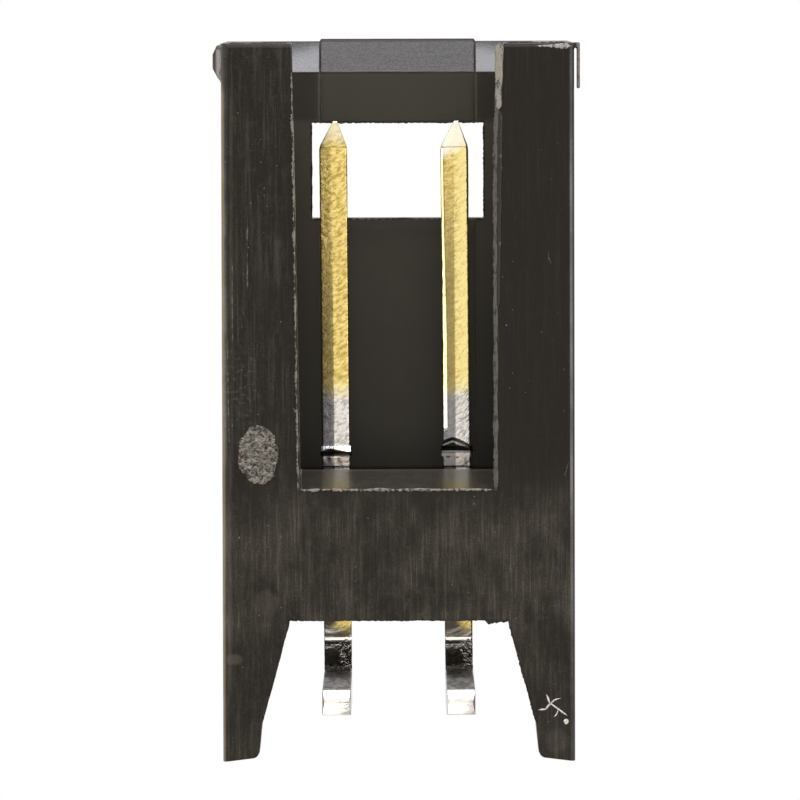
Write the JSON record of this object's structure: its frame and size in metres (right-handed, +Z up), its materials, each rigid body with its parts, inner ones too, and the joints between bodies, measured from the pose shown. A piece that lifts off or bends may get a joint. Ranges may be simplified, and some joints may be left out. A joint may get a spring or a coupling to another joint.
{
  "type": "right-angle pin header",
  "caption": "Right-angle board header: a black moulded box shroud with a keying slot, a latch window and two rear legs, holding bent square plated pins for a cable plug.",
  "frame": {"origin": "middle of the row of solder tails, level with the top of the board", "axes": "+Z up from the board, X along the row of pins, -Y out of the mouth that takes the plug"},
  "size_m": [0.0076, 0.0149, 0.0086],
  "materials": {
    "housing_plastic": "black moulded thermoplastic, fine scuffs, satin",
    "pin_plating": "square copper-alloy wire, gold on the mating end and tin on the tail"
  },
  "bodies": {
    "root": {"housing": "housing_plastic", "pin_left": "pin_plating", "pin_right": "pin_plating"}
  },
  "joints": []
}
